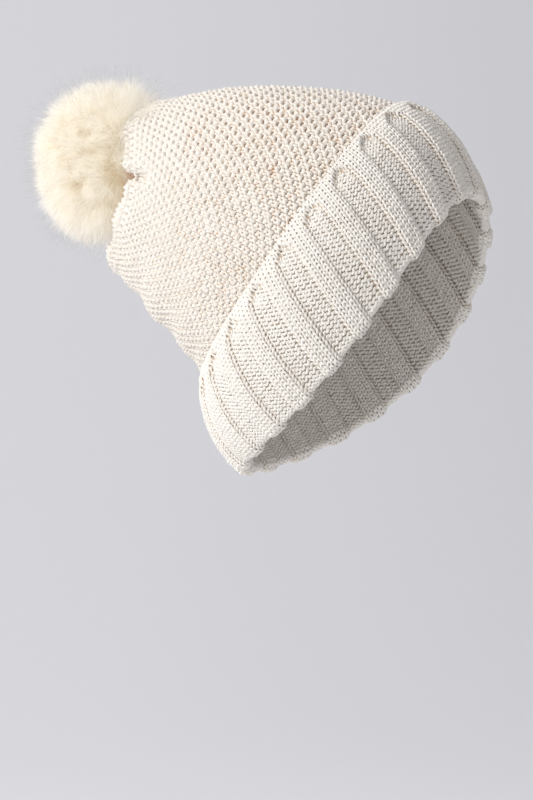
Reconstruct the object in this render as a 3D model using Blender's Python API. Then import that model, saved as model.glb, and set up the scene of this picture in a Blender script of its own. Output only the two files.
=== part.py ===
"""Knitted pom pom beanie, shaped as it sits on a head.

Units are metres. The wearer faces -Y, the wearer's left is +X and up is +Z.
The origin is the centre of the head opening. The hat tilts back, so its crown
runs towards +Y and ends in a faux fur pom pom tied on with an elastic loop.
"""

import math

import bmesh
import bpy
import numpy as np
from mathutils import Matrix, Vector

# Midplane outline of the crown, as (y, z): four Bezier points for each side.
CROWN_FRONT = ((-0.029, 0.133), (0.019, 0.1515), (0.094, 0.1525), (0.138, 0.1365))
CROWN_BACK = ((0.0925, -0.032), (0.109, -0.0075), (0.138, 0.0165), (0.152, 0.039))
CROWN_HALF_WIDTH = (0.0815, 0.0445)
CROWN_SADDLE = (0.012, 0.016)
CROWN_WALL = 0.0036
END_BULGE = 0.007
GATHER_POINT = (0.1405, 0.097)
GATHER_HOLE_RADIUS = 0.005

# Head opening: the fold of the cuff, as midplane (y, z) at the forehead and the nape.
BRIM_FRONT = (-0.0717, 0.0842)
BRIM_BACK = (0.0717, -0.0842)
BRIM_HALF_WIDTH = 0.083
BRIM_SADDLE = 0.024

# The cuff is one ribbed band folded double.
CUFF_WALL = 0.0038
CUFF_FOLD_RADIUS = 0.0027
CUFF_LAYER_SPACING = 0.0058
CUFF_HEAD_BULGE = 0.0045
CUFF_OUTER_PUFF = 0.0022

# Pom pom and the tie that holds it.
POM_AXIS_TILT = math.radians(18)
POM_RADIUS = 0.047
POM_CENTRE_HEIGHT = 0.026
POM_NECK_ANGLE = math.radians(52.5)
POM_NECK_RADIUS = 0.0056
POM_NECK_HEIGHT = 0.0058
POM_FLARE_DISTANCE = 0.0165
POM_SHOULDER_ROUND = math.radians(9)
POM_CHANNEL_RADIUS = 0.0041
# Share of the cone's length where its straight side starts to round over into the ball.
POM_SHOULDER_START = 0.85
POM_THREAD_HEIGHT = 0.009
POM_THREAD_RING = 0.00335
POM_THREAD_RADIUS = 0.00042
CAVITY_RADIUS = 0.0215
FILLING_RADIUS = 0.0205
FILLING_HEIGHT = 0.034
BUTTON_RADIUS = 0.008
BUTTON_THICKNESS = 0.0024
BUTTON_DEPTH = 0.0052
BUTTON_HOLE_RADIUS = 0.0011
BUTTON_DISH = 0.0006
BUTTON_EDGE = 0.0007
# Shares of the button's radius: where its dish ends, its lip starts and its edge rounds off.
BUTTON_STEPS = (0.6, 0.72, 0.92)
TIE_HALF_SPACING = 0.00175
TIE_RADIUS = 0.00075
TIE_TOP = 0.011
TIE_BOTTOM = -0.0071
TIE_SAG = 0.0009

SEAM_THREAD_RADIUS = 0.0009
TACK_RADIUS = 0.0007
LABEL_SIZE = (0.020, 0.030)
LABEL_THICKNESS = 0.0006
# Places on the crown's back wall that the label lies between, and its distance inside it.
LABEL_SPAN = (0.32, 0.10)
LABEL_INSET = 0.0085
LABEL_THREAD_RADIUS = 0.0004
FIT_GAP = 0.0003
# Rows are offset in their own plane, so a sloping wall is this much thicker there.
SLOPE_ALLOWANCE = 1.4

# Gathered end of the crown: rows at these shares of the way out to its rim.
CAP_SHARES = (0.985, 0.9, 0.75, 0.45, 0.2)
GATHER_THREAD_SHARE = 0.26
# Back seams run between these shares of the crown's height and of the cuff's depth.
CROWN_SEAM_SPAN = (0.06, 0.94)
CUFF_SEAM_SPAN = (0.08, 0.96)
# The inner layer's raw edge stops short of the linking seam by this share of a row.
CUFF_EDGE_SHORTENING = 0.06
TACK_SHARE = 0.1
TACK_ARC = 0.08

AROUND = 40
CROWN_ROWS = 10


def bezier(points, t):
    p0, p1, p2, p3 = (np.array(p) for p in points)
    s = 1.0 - t
    return s**3 * p0 + 3 * s**2 * t * p1 + 3 * s * t**2 * p2 + t**3 * p3


def mix(a, b, t):
    return a + (b - a) * t


def ring_point(front, back, half_width, saddle, theta, offset=0.0):
    """A point of one row of stitches: an ellipse that dips over the ears.

    theta is 0 at the front of the hat, 90 degrees on the wearer's left and
    180 degrees at the back. offset moves the point out along the row's plane.
    """
    front, back = np.array(front), np.array(back)
    centre = (front + back) / 2
    half = (front - back) / 2
    length = np.linalg.norm(half)
    up = np.array((-half[1], half[0])) / length
    up = up if up[0] > 0 else -up
    along = half * (length + offset) / length
    yz = centre + along * math.cos(theta) - up * saddle * math.sin(theta) ** 2
    return np.array(((half_width + offset) * math.sin(theta), yz[0], yz[1]))


def crown_point(t, theta, offset=0.0):
    """The crown from its lower edge (t = 0) to the rim of its gathered end (t = 1)."""
    front, back = bezier(CROWN_FRONT, t), bezier(CROWN_BACK, t)
    width = mix(*CROWN_HALF_WIDTH, t**1.3)
    return ring_point(front, back, width, mix(*CROWN_SADDLE, t), theta, offset)


def crown_end_normal():
    half = (np.array(CROWN_FRONT[3]) - np.array(CROWN_BACK[3])) / 2
    up = np.array((half[1], -half[0])) / np.linalg.norm(half)
    return np.array((0.0, up[0], up[1]))


def cap_point(share, theta, drop=0.0):
    """The gathered end: share is 1 at its rim and 0 at the gather point."""
    gather = np.array((0.0, *GATHER_POINT))
    rim = crown_point(1.0, theta, -drop)
    rise = 2 * share**2 * math.sqrt(max(0.0, 1 - share**4))
    return gather + (rim - gather) * share + crown_end_normal() * (END_BULGE * rise - drop)


def brim_point(theta, offset=0.0):
    return ring_point(BRIM_FRONT, BRIM_BACK, BRIM_HALF_WIDTH, BRIM_SADDLE, theta, offset)


def cuff_point(share, theta, offset):
    """Between the crown's lower edge (share 0) and the fold (share 1), moved out by offset."""
    top, low = crown_point(0.0, theta, offset), brim_point(theta, offset)
    return top + (low - top) * share


def cuff_layers(theta):
    """The band's middle line at one angle: up the inside, round the fold, up the outside."""
    line = []
    for share in np.linspace(0.0, 1.0, 6):
        bulge = CUFF_HEAD_BULGE * 4 * share * (1 - share)
        line.append(cuff_point(share, theta, bulge - CUFF_FOLD_RADIUS * share))
    low, top = brim_point(theta), crown_point(0.0, theta)
    out = brim_point(theta, 1.0) - low
    out /= np.linalg.norm(out)
    down = (low - top) - out * np.dot(low - top, out)
    down /= np.linalg.norm(down)
    for turn in np.radians((-45, 0, 45)):
        line.append(low + CUFF_FOLD_RADIUS * (out * math.sin(turn) + down * math.cos(turn)))
    for share in np.linspace(1.0, 0.0, 7):
        bulge = (CUFF_HEAD_BULGE + CUFF_OUTER_PUFF) * 4 * share * (1 - share)
        gap = mix(CUFF_LAYER_SPACING, CUFF_FOLD_RADIUS, share)
        line.append(cuff_point(share, theta, bulge + gap))
    return line


def clear_scene():
    for obj in list(bpy.data.objects):
        bpy.data.objects.remove(obj, do_unlink=True)


def material(name, colour, roughness, metallic=0.0):
    mat = bpy.data.materials.new(name)
    mat.use_nodes = True
    shader = mat.node_tree.nodes["Principled BSDF"]
    shader.inputs["Base Color"].default_value = (*colour, 1.0)
    shader.inputs["Roughness"].default_value = roughness
    shader.inputs["Metallic"].default_value = metallic
    return mat


def add_object(name, mesh, mat, parent=None):
    obj = bpy.data.objects.new(name, mesh)
    bpy.context.scene.collection.objects.link(obj)
    mesh.materials.append(mat)
    if parent is not None:
        obj.parent = parent
        obj.matrix_parent_inverse = Matrix.Translation(-parent.location)
    return obj


def mesh_from(name, points, faces):
    """A mesh with its faces turned out."""
    mesh = bpy.data.meshes.new(name)
    bm = bmesh.new()
    verts = [bm.verts.new(Vector(p)) for p in points]
    for face in faces:
        bm.faces.new([verts[i] for i in face])
    bmesh.ops.recalc_face_normals(bm, faces=bm.faces)
    bm.to_mesh(mesh)
    bm.free()
    mesh.shade_smooth()
    return mesh


def grid_faces(rows, columns, closed_rows=False, closed_columns=True):
    faces = []
    for r in range(rows if closed_rows else rows - 1):
        for c in range(columns if closed_columns else columns - 1):
            r2, c2 = (r + 1) % rows, (c + 1) % columns
            faces.append((r * columns + c, r * columns + c2, r2 * columns + c2, r2 * columns + c))
    return faces


def sheet(name, rows, wall, mat):
    """A fabric tube given by the rows of its middle surface, thickened to its wall."""
    points = [p for row in rows for p in row]
    mesh = mesh_from(name, points, grid_faces(len(rows), len(rows[0])))
    obj = add_object(name, mesh, mat)
    solid = obj.modifiers.new("wall", "SOLIDIFY")
    solid.thickness = wall
    solid.offset = 0.0
    return obj


def tube(name, path, radius, mat, closed=False, sides=6, parent=None):
    """A thread along a path, round in section, with flat ends unless it is a closed ring."""
    path = [Vector(p) for p in path]
    count = len(path)
    points = []
    across = None
    for i, place in enumerate(path):
        before = path[(i - 1) % count] if closed or i > 0 else place
        after = path[(i + 1) % count] if closed or i < count - 1 else place
        ahead = (after - before).normalized()
        if across is None:
            across = ahead.orthogonal()
        across = (across - ahead * across.dot(ahead)).normalized()
        other = ahead.cross(across)
        for k in range(sides):
            turn = 2 * math.pi * k / sides
            points.append(place + radius * (across * math.cos(turn) + other * math.sin(turn)))
    faces = grid_faces(count, sides, closed_rows=False)
    if closed:
        faces += joined_ends(points, count, sides)
    else:
        faces.append(tuple(range(sides)))
        faces.append(tuple(range((count - 1) * sides, count * sides)))
    return add_object(name, mesh_from(name, points, faces), mat, parent)


def joined_ends(points, count, sides):
    """Faces between a closed ring's last and first section, matched at their nearest corners."""
    last = (count - 1) * sides
    shift = min(range(sides), key=lambda k: (points[last] - points[k]).length)
    faces = []
    for k in range(sides):
        k2 = (k + 1) % sides
        faces.append((last + k, last + k2, (k2 + shift) % sides, (k + shift) % sides))
    return faces


def turned(name, profile, base, axis, mat, steps=24, parent=None):
    """A closed (radius, height) profile turned about an axis; radius 0 makes a single point."""
    axis = Vector(axis).normalized()
    side = axis.orthogonal().normalized()
    other = axis.cross(side)
    points, rings = [], []
    for radius, height in profile:
        ring = []
        for k in range(steps if radius > 0 else 1):
            turn = 2 * math.pi * k / steps
            ring.append(len(points))
            out = side * math.cos(turn) + other * math.sin(turn)
            points.append(Vector(base) + axis * height + out * radius)
        rings.append(ring)
    faces = []
    closed = profile[0][0] > 0
    pairs = zip(rings, rings[1:] + rings[:1]) if closed else zip(rings, rings[1:])
    for a, b in pairs:
        for k in range(steps):
            k2 = (k + 1) % steps
            face = [a[k % len(a)], a[k2 % len(a)], b[k2 % len(b)], b[k % len(b)]]
            faces.append(tuple(dict.fromkeys(face)))
    return add_object(name, mesh_from(name, points, faces), mat, parent)


def arc(centre, radius, start, end, steps):
    """Points (radius, height) of a circle about the turning axis; angles from the axis's top."""
    angles = np.linspace(start, end, steps)
    return [(radius * math.sin(a), centre + radius * math.cos(a)) for a in angles]


def build_crown(mat):
    angles = [2 * math.pi * k / AROUND for k in range(AROUND)]
    rows = [[crown_point(t, a) for a in angles] for t in np.linspace(0.0, 1.0, CROWN_ROWS)]
    rim = np.linalg.norm(crown_point(1.0, 0.0) - np.array((0.0, *GATHER_POINT)))
    hole_share = GATHER_HOLE_RADIUS / rim
    for share in CAP_SHARES:
        rows.append([cap_point(share, a) for a in angles])
    hole = []
    for a in angles:
        reach = cap_point(hole_share, a) - np.array((0.0, *GATHER_POINT))
        hole.append(np.array((0.0, *GATHER_POINT)) + reach * GATHER_HOLE_RADIUS / np.linalg.norm(reach))
    rows.append(hole)
    return sheet("crown_shell", rows, CROWN_WALL, mat)


def build_cuff(mat):
    angles = [2 * math.pi * k / AROUND for k in range(AROUND)]
    lines = [cuff_layers(a) for a in angles]
    for line in lines:
        line[0] = mix(line[0], line[1], CUFF_EDGE_SHORTENING)
    rows = [[line[r] for line in lines] for r in range(len(lines[0]))]
    return sheet("cuff_band", rows, CUFF_WALL, mat)


def build_seams(mat):
    inside = SLOPE_ALLOWANCE * (CROWN_WALL / 2 + SEAM_THREAD_RADIUS) + FIT_GAP
    angles = [2 * math.pi * k / AROUND for k in range(AROUND)]
    ring = [crown_point(0.0, a, -inside) for a in angles]
    tube("linking_seam", ring, SEAM_THREAD_RADIUS, mat, closed=True)
    crown_line = [crown_point(t, math.pi, -inside) for t in np.linspace(*CROWN_SEAM_SPAN, 16)]
    tube("crown_back_seam", crown_line, SEAM_THREAD_RADIUS, mat)
    cuff_line = []
    for share in np.linspace(*CUFF_SEAM_SPAN, 12):
        bulge = CUFF_HEAD_BULGE * 4 * share * (1 - share) - CUFF_FOLD_RADIUS * share
        cuff_line.append(cuff_point(share, math.pi, bulge - inside))
    tube("cuff_back_seam", cuff_line, SEAM_THREAD_RADIUS, mat)
    drop = CROWN_WALL / 2 + SEAM_THREAD_RADIUS + 2 * FIT_GAP
    end = crown_end_normal()
    gather = [cap_point(GATHER_THREAD_SHARE, a) - end * drop for a in angles[::2]]
    tube("crown_gather_thread", gather, SEAM_THREAD_RADIUS, mat, closed=True)


def build_tacks(mat):
    """A short bar of thread on each side, between the turned-up layer and the crown."""
    for name, side in (("cuff_tack_left", 1), ("cuff_tack_right", -1)):
        bulge = 4 * TACK_SHARE * (1 - TACK_SHARE)
        inner = CUFF_HEAD_BULGE * bulge - CUFF_FOLD_RADIUS * TACK_SHARE + CUFF_WALL / 2
        outer = mix(CUFF_LAYER_SPACING, CUFF_FOLD_RADIUS, TACK_SHARE) - CUFF_WALL / 2
        outer += (CUFF_HEAD_BULGE + CUFF_OUTER_PUFF) * bulge
        path = []
        for step in np.linspace(-0.5, 0.5, 4):
            angle = side * math.pi / 2 + TACK_ARC * step
            path.append(cuff_point(TACK_SHARE, angle, (inner + outer) / 2))
        tube(name, path, TACK_RADIUS, mat)


def build_pom(fur, filling, thread):
    """The fur cover, drawn in to a neck above the gather point, with its filling and thread."""
    base = Vector((0.0, *GATHER_POINT))
    axis = pom_axis()
    hub = bpy.data.objects.new("pom_pivot", None)
    hub.location = base
    bpy.context.scene.collection.objects.link(hub)
    reach = POM_CENTRE_HEIGHT * math.cos(POM_NECK_ANGLE)
    reach += math.sqrt(POM_RADIUS**2 - (POM_CENTRE_HEIGHT * math.sin(POM_NECK_ANGLE)) ** 2)
    shoulder = on_neck_cone(reach)
    turn = math.acos((shoulder[1] - POM_CENTRE_HEIGHT) / POM_RADIUS) - POM_SHOULDER_ROUND
    outer = arc(POM_CENTRE_HEIGHT, POM_RADIUS, 0.0, turn, 8)
    low = on_neck_cone(POM_SHOULDER_START * reach)
    for t in (0.33, 0.67, 1.0):
        side = [(1 - t) ** 2 * a + 2 * t * (1 - t) * b + t**2 * c for a, b, c in zip(outer[7], shoulder, low)]
        outer.append(tuple(side))
    outer.append(on_neck_cone(POM_FLARE_DISTANCE))
    outer.append((POM_NECK_RADIUS, POM_NECK_HEIGHT))
    channel_turn = math.pi - math.asin(POM_CHANNEL_RADIUS / CAVITY_RADIUS)
    cavity = arc(FILLING_HEIGHT, CAVITY_RADIUS, channel_turn, 0.0, 9)
    profile = outer + [(POM_CHANNEL_RADIUS, POM_NECK_HEIGHT)] + cavity
    profile[0] = (0.0, profile[0][1])
    profile[-1] = (0.0, profile[-1][1])
    turned("pom_cover", profile, base, axis, fur, parent=hub)
    ball = arc(FILLING_HEIGHT, FILLING_RADIUS, 0.0, math.pi, 9)
    ball[0] = (0.0, ball[0][1])
    ball[-1] = (0.0, ball[-1][1])
    turned("pom_filling", ball, base, axis, filling, steps=20, parent=hub)
    ring = []
    side = axis.orthogonal().normalized()
    for k in range(16):
        turn = Matrix.Rotation(2 * math.pi * k / 16, 3, axis)
        ring.append(base + axis * POM_THREAD_HEIGHT + turn @ side * POM_THREAD_RING)
    tube("pom_gather_thread", ring, POM_THREAD_RADIUS, thread, closed=True, parent=hub)


def on_neck_cone(distance):
    """(radius, height) on the cone that bounds the underside of the pom pom."""
    return (distance * math.sin(POM_NECK_ANGLE), distance * math.cos(POM_NECK_ANGLE))


def pom_axis():
    return Vector((0.0, math.cos(POM_AXIS_TILT), math.sin(POM_AXIS_TILT)))


def build_anchor(plastic, elastic):
    """A two-hole button inside the crown, and the elastic loop through it."""
    base = Vector((0.0, *GATHER_POINT))
    axis = pom_axis()
    low, high = -BUTTON_DEPTH - BUTTON_THICKNESS / 2, -BUTTON_DEPTH + BUTTON_THICKNESS / 2
    dish, lip, edge = (BUTTON_RADIUS * share for share in BUTTON_STEPS)
    profile = [
        (0.0, high - BUTTON_DISH),
        (dish, high - BUTTON_DISH),
        (lip, high),
        (edge, high),
        (BUTTON_RADIUS, high - BUTTON_EDGE),
        (BUTTON_RADIUS, low + BUTTON_EDGE),
        (edge, low),
        (0.0, low),
    ]
    button = turned("anchor_button", profile, base, axis, plastic, steps=28)
    for k, side in enumerate((-1, 1)):
        place = base + Vector((side * TIE_HALF_SPACING, 0.0, 0.0))
        above, below = BUTTON_THICKNESS, -BUTTON_DEPTH - BUTTON_RADIUS
        ends = [(BUTTON_HOLE_RADIUS, above), (BUTTON_HOLE_RADIUS, below)]
        drill = [(0.0, above), *ends, (0.0, below)]
        cutter = turned(f"button_hole_{k}", drill, place, axis, plastic, steps=12)
        cutter.hide_render = True
        cutter.display_type = "WIRE"
        cut = button.modifiers.new(f"hole_{k}", "BOOLEAN")
        cut.operation = "DIFFERENCE"
        cut.object = cutter
    across = Vector((TIE_HALF_SPACING, 0.0, 0.0))
    bottom = TIE_BOTTOM + FIT_GAP
    turn_height = TIE_BOTTOM - TIE_RADIUS - FIT_GAP
    path = [base - across + axis * TIE_TOP, base - across + axis * bottom]
    for turn in np.radians((30, 60, 90, 120, 150)):
        bend = -across * math.cos(turn) + axis * (turn_height - TIE_SAG * math.sin(turn))
        path.append(base + bend)
    path.append(base + across + axis * bottom)
    path.append(base + across + axis * TIE_TOP)
    tube("tie_elastic", path, TIE_RADIUS, elastic, sides=8)


def build_label(cloth, thread):
    """A blank label inside the back of the crown, sewn along its upper edge."""
    upper, lower = (Vector(crown_point(t, math.pi, -LABEL_INSET)) for t in LABEL_SPAN)
    down = (lower - upper).normalized()
    across = Vector((1.0, 0.0, 0.0))
    out = down.cross(across).normalized()
    hub = bpy.data.objects.new("label_pivot", None)
    hub.location = upper
    bpy.context.scene.collection.objects.link(hub)
    half = LABEL_SIZE[0] / 2
    points = []
    for depth in (0.0, LABEL_SIZE[1]):
        for side in (-half, half):
            for level in (-LABEL_THICKNESS / 2, LABEL_THICKNESS / 2):
                points.append(upper + down * depth + across * side + out * level)
    faces = [(0, 1, 3, 2), (4, 6, 7, 5), (0, 4, 5, 1), (2, 3, 7, 6), (0, 2, 6, 4), (1, 5, 7, 3)]
    add_object("care_label", mesh_from("care_label", points, faces), cloth, hub)
    above = LABEL_THICKNESS / 2 + LABEL_THREAD_RADIUS + FIT_GAP
    path = [upper - down * above + across * s for s in np.linspace(-half, half, 6)]
    tube("label_stitches", path, LABEL_THREAD_RADIUS, thread)


def main():
    clear_scene()
    crown_yarn = material("crown_yarn", (0.83, 0.76, 0.67), 0.9)
    cuff_yarn = material("cuff_yarn", (0.80, 0.75, 0.67), 0.9)
    thread = material("sewing_thread", (0.78, 0.73, 0.64), 0.75)
    fur = material("faux_fur", (0.93, 0.88, 0.77), 0.85)
    filling = material("fibre_filling", (0.92, 0.92, 0.90), 0.95)
    plastic = material("button_plastic", (0.86, 0.83, 0.76), 0.35)
    elastic = material("elastic_cord", (0.88, 0.85, 0.78), 0.7)
    cloth = material("label_cloth", (0.92, 0.91, 0.88), 0.6)
    build_crown(crown_yarn)
    build_cuff(cuff_yarn)
    build_seams(thread)
    build_tacks(thread)
    build_pom(fur, filling, thread)
    build_anchor(plastic, elastic)
    build_label(cloth, thread)


main()
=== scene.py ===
"""Looks for the knitted pom pom beanie: every stitch as yarn, faux fur as strands."""

import math

import bpy
import numpy as np
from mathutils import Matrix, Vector
from mathutils.bvhtree import BVHTree


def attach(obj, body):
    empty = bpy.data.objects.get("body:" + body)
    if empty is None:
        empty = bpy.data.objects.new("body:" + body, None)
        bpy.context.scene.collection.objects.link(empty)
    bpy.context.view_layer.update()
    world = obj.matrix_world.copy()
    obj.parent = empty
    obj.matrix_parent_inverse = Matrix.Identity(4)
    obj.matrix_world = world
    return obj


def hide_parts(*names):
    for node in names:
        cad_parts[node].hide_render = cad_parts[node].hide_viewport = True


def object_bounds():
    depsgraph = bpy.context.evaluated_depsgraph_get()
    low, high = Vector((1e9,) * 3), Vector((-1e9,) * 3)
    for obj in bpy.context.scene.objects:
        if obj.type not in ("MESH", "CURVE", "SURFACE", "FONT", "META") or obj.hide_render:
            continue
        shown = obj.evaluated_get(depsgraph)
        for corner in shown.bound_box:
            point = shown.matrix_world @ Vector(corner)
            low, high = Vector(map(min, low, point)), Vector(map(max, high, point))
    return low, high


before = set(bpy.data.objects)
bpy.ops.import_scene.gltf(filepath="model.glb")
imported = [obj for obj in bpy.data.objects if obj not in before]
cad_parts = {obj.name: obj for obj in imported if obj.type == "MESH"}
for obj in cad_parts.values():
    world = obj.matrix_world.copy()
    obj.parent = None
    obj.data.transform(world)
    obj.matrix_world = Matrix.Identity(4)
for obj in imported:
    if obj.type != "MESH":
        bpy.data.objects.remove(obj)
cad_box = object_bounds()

# ---------------------------------------------------------------- the hat's shape
# The same driving dimensions as the CAD solids, in metres, as midplane (y, z) points.
CROWN_FRONT = ((-0.029, 0.133), (0.019, 0.1515), (0.094, 0.1525), (0.138, 0.1365))
CROWN_BACK = ((0.0925, -0.032), (0.109, -0.0075), (0.138, 0.0165), (0.152, 0.039))
CROWN_HALF_WIDTH = (0.0815, 0.0445)
CROWN_SADDLE = (0.012, 0.016)
END_BULGE = 0.007
GATHER_POINT = (0.1405, 0.097)
BRIM_FRONT = (-0.0717, 0.0842)
BRIM_BACK = (0.0717, -0.0842)
BRIM_HALF_WIDTH = 0.083
BRIM_SADDLE = 0.024
CUFF_FOLD_RADIUS = 0.0027
CUFF_LAYER_SPACING = 0.0058
CUFF_HEAD_BULGE = 0.0045
CUFF_OUTER_PUFF = 0.0022
CUFF_EDGE_LEAN = 0.0025
CUFF_LEAN_SHARE = 0.2
# The cuff runs down the inside to INNER_END, round its fold to FOLD_END and up the outside.
INNER_END, FOLD_END = 0.465, 0.535
POM_AXIS_TILT = math.radians(18)
POM_CENTRE_HEIGHT = 0.026

# Folds of the slack crown: depths in metres and angles in radians. A start or an end is a span
# up the crown, where 0 is the cuff, 1 the crown's shoulder and 2 the gather.
PLEATS = 11
PLEAT_DEPTH = 0.0034
PLEAT_START = (0.82, 1.2)
PLEAT_END = (1.5, 1.95)
CREASE_ANGLE = math.radians(-80)
CREASE_WIDTH = 0.085
CREASE_DEPTH = 0.009
CREASE_START = (0.84, 1.0)
CREASE_END = (1.5, 1.85)
RIPPLES = 3.3
RIPPLE_PHASE = 0.6
RIPPLE_DEPTH = 0.0015
RIPPLE_WIDTH = 0.75
RIPPLE_START = (0.05, 0.2)
RIPPLE_END = (0.9, 1.0)
SHOULDER_RISE = 0.0062
SHOULDER_PLACE = 1.07
SHOULDER_WIDTH = 0.15
SHOULDER_AT_SIDES = 0.35
# Each set of lumps: its depth, waves round the crown, waves up it, and phase.
LUMPS = ((0.0007, 3, 5, 0.0), (0.0006, 5, -7, 1.0))
LUMPS_START = (0.0, 0.3)

# Knitting.
CUFF_WALES = 176
RIB_REPEAT = 8
RIB_KNIT = 4
INNER_COURSES = 25
FOLD_COURSES = 4
OUTER_COURSES = 26
CUFF_COURSES = INNER_COURSES + FOLD_COURSES + OUTER_COURSES
CUFF_YARN = 0.00086
CUFF_PIECE_COURSES = 6
CROWN_WALES = 138
CROWN_COURSES = 34
CAP_COURSES = 12
CROWN_YARN = 0.00116
CROWN_PIECE_COURSES = 8
CAP_REACH = 0.82
# A loop: its height in courses, the pinch of its neck, its depth in metres, its unevenness, and
# how much fuller the yarn is where it stands forward.
CUFF_LOOP = (1.5, 1.4, 0.0009, 0.45, 0.06)
CROWN_LOOP = (1.2, 1.35, 0.0020, 0.34, 0.2)
LOOP_STEPS = 14
YARN_SIDES = 6
# The share of a stitch over which it passes to its neighbour's side, along and up the fabric.
SIGN_REACH = 0.16
SIGN_CHANGE = (0.25, 0.75)
# Unevenness: in place (stitches), in depth (share of the loop's) and in the yarn's thickness.
UNEVEN_PLACE = 0.10
UNEVEN_DEPTH = 0.25
UNEVEN_WIDTH = 0.07
# Yarn counts as deep up to this share of its radius past the loop's depth.
DEEP_MARGIN = 0.2
# Where the first and last courses lie on the cuff and the crown.
CUFF_FIRST, CUFF_LAST = 0.012, 0.992
CROWN_FIRST = -0.03
# Over its last courses the crown's painted shade between the loops is lighter, so its gaps show less.
SHADE_FADE_COURSES = 12
SHADE_FADE_SHARE = 0.7
# How far the ribs stand up and the panels between them sink, in metres; the panels' arches, in
# courses below the free edge; and half a panel's width, in stitches.
RIB_RISE = 0.0011
PANEL_DEPTH = 0.0022
ARCH_DEPTH = 0.0009
EDGE_RISE = 0.0004
ARCH_START = 1.5
ARCH_COURSES = 2.6
PANEL_HALF_WIDTH = 2.35
# How far a panel's wall reaches inside and outside its edge, in stitches; and the courses below
# the free edge over which the edge stands proud and the arches are deeper.
PANEL_WALL = (0.7, 0.5)
EDGE_COURSES = (0.5, 3.0)
ARCH_HOLLOW = (3.0, 7.0)
# The thin sheet of painted shade inside the fabric, between the yarns.
SHADE_SHEET_WALL = 0.0003
CROWN_SHADE_SHEET_DEPTH = 0.0002
CUFF_SHADE_SHEET_DEPTH = 0.0004
SHADE_SHEET_COLUMNS = 240

# Studio.
FLOOR_DROP = 0.45
ROOM_RADIUS = 8.0
ROOM_BEND = 5.0
ROOM_GLOW = 0.33
# Glow of the backdrop from the left of the picture (0) to the right (1).
ROOM_TONES = (
    (0.0, 1.1), (0.44, 1.06), (0.48, 1.0), (0.52, 0.86), (0.56, 0.70), (0.72, 0.26), (1.0, 0.2),
)
ROOM_BLUE = 1.015
CAMERA_AZIMUTH = math.radians(-68)
CAMERA_DISTANCE = 2.2
CAMERA_LENS = 162.3
AIM_LEFT = 0.0564
AIM_HEIGHT = -0.0427
LIGHTS_AIM = (0, 0.05, 0.03)

# The pom pom's fabric ball: its radius, how far it lies inside the neck's cone, how sharply the
# two meet, its puckers, its thickness, and the open angle at its neck.
CORE_RADIUS = 0.0375
CORE_INSET = 0.005
CORE_SHARPNESS = 6
PUCKERS = 14
PUCKER_DEPTH = 0.0008
PUCKER_START = (1.6, 2.6)
POM_FABRIC = 0.0012
NECK_OPENING = 0.17
POM_NECK_ANGLE = math.radians(52.5)

# Fur.
UNDERFUR_STRANDS = 80000
GUARD_STRANDS = 8000
TUFTS = 520
TUFT_LENGTHS = (0.84, 1.14)
TUFT_SWEEP = 0.26
STRAND_STEPS = 7
STRAND_LENGTHS = (0.5, 1.15)
STRAND_SWING = 0.0013
STRAND_DROOP = 0.002
STRAND_TAPER = 0.88
# How much longer the fur is on top and underneath, in metres.
LONGER_ABOVE = 0.0075
LONGER_BELOW = 0.003
# The share of its length that fur loses where it is pressed against the crown.
PRESSED = 0.45
# Painted shade: fur in the shade of the neck keeps the dark colour of its roots; the span is along the
# pom's axis.
SHADED_SPAN = (-0.42, -0.78)
SHADED_SHARE = 0.92
# How far the fur may stand out of the CAD model's box, above and behind.
FUR_REACH = 0.0162
# How far outside the crown's surface the fur lies; how far up the pom's axis from its centre the
# fur is checked; and a point inside the crown.
FUR_CLEARANCE = 0.0028
FUR_CONTACT_RANGE = 0.012
CROWN_MIDDLE = (0.0, 0.09, 0.07)

TAU = 2 * math.pi
GATHER = np.array((0.0, *GATHER_POINT))
POM_AXIS = np.array((0.0, math.cos(POM_AXIS_TILT), math.sin(POM_AXIS_TILT)))
POM_CENTRE = GATHER + POM_AXIS * POM_CENTRE_HEIGHT
rng = np.random.default_rng(7)


def unit(v):
    return v / np.linalg.norm(v, axis=-1, keepdims=True)


def mix(a, b, t):
    return a + (b - a) * t


def smooth(low, high, x):
    t = np.clip((x - low) / (high - low), 0.0, 1.0)
    return t * t * (3 - 2 * t)


def bezier(points, t):
    p0, p1, p2, p3 = (np.array(p) for p in points)
    t = np.asarray(t, float)[..., None]
    s = 1.0 - t
    return s**3 * p0 + 3 * s**2 * t * p1 + 3 * s * t**2 * p2 + t**3 * p3


def ring(front, back, half_width, saddle, theta, offset=0.0):
    """Points of rows of stitches: ellipses that dip over the ears (theta 0 front, 90 deg left)."""
    front, back, theta = np.asarray(front), np.asarray(back), np.asarray(theta)
    half = (front - back) / 2
    length = np.linalg.norm(half, axis=-1, keepdims=True)
    up = np.stack((half[..., 1], -half[..., 0]), -1) / length
    along = half * (length + np.asarray(offset)[..., None]) / length
    yz = (front + back) / 2 + along * np.cos(theta)[..., None]
    yz = yz - up * (saddle * np.sin(theta) ** 2)[..., None]
    return np.stack(((half_width + offset) * np.sin(theta), yz[..., 0], yz[..., 1]), -1)


def crown_ring(v, theta):
    width = mix(*CROWN_HALF_WIDTH, v**1.3)
    saddle = mix(*CROWN_SADDLE, v)
    return ring(bezier(CROWN_FRONT, v), bezier(CROWN_BACK, v), width, saddle, theta)


def end_normal():
    half = np.array(CROWN_FRONT[3]) - np.array(CROWN_BACK[3])
    return unit(np.array((0.0, half[1], -half[0])))


def crown_smooth(v, theta):
    """The crown without folds: v runs 0 to 1 up the side, then 1 to 2 in to the gather point."""
    side = crown_ring(np.minimum(v, 1.0), theta)
    share = np.clip(2.0 - v, 0.0, 1.0)
    rise = 2 * share**2 * np.sqrt(np.maximum(0.0, 1 - share**4))
    cap = GATHER + (side - GATHER) * share[..., None] + end_normal() * (END_BULGE * rise)[..., None]
    return np.where((v > 1.0)[..., None], cap, side)


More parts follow.
